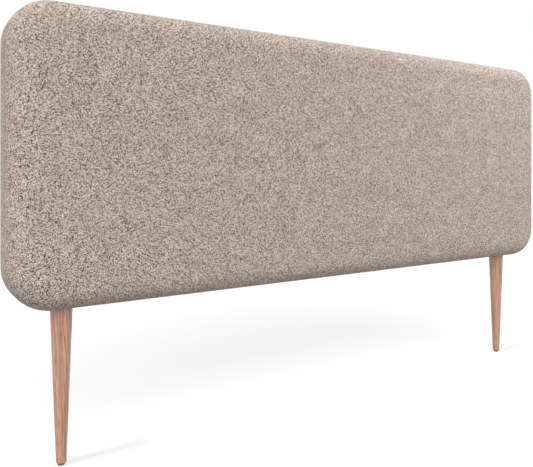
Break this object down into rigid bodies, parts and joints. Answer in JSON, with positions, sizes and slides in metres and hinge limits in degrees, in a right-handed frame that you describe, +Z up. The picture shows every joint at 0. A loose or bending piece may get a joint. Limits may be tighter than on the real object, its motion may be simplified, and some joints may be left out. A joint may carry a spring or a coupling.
{
  "type": "headboard",
  "caption": "Wide padded headboard: a round-cornered, soft-edged fabric panel over a jointed wooden frame, standing on slim tapered wooden legs",
  "frame": {"origin": "on the floor, under the middle of the headboard", "axes": "X along the width, Y from the padded front (-Y) to the back (+Y), Z up"},
  "size_m": [1.6, 0.1, 0.918],
  "materials": {
    "cover_fabric": "coarse woven upholstery cloth of light, middle and dark beige-grey yarns",
    "dust_cloth": "thin black spunbond non-woven cloth",
    "wadding": "white polyester fibre wadding",
    "foam": "open-cell upholstery foam",
    "fibreboard": "thin hardboard, smooth face",
    "staple_steel": "galvanised steel wire",
    "pine": "planed softwood, untreated",
    "plywood": "sawn plywood",
    "zinc_steel": "zinc plated steel",
    "leg_wood": "turned beech, clear satin lacquer",
    "glide_plastic": "dark brown moulded plastic"
  },
  "bodies": {
    "root": {"fabric_cover": "cover_fabric", "dust_cover": "dust_cloth", "fibre_wadding": "wadding", "foam_pad": "foam", "face_board": "fibreboard", "cover_staples": "staple_steel", "top_rail": "pine", "bottom_rail": "pine", "left_stile": "pine", "right_stile": "pine", "corner_block_top_left": "plywood", "corner_block_top_right": "plywood", "corner_block_bottom_left": "plywood", "corner_block_bottom_right": "plywood", "batten_1": "pine", "batten_2": "pine", "tee_nut_left": "zinc_steel", "tee_nut_right": "zinc_steel", "hanger_bolt_left": "zinc_steel", "hanger_bolt_right": "zinc_steel", "leg_left": "leg_wood", "leg_right": "leg_wood", "glide_left": "glide_plastic", "glide_right": "glide_plastic"}
  },
  "joints": []
}
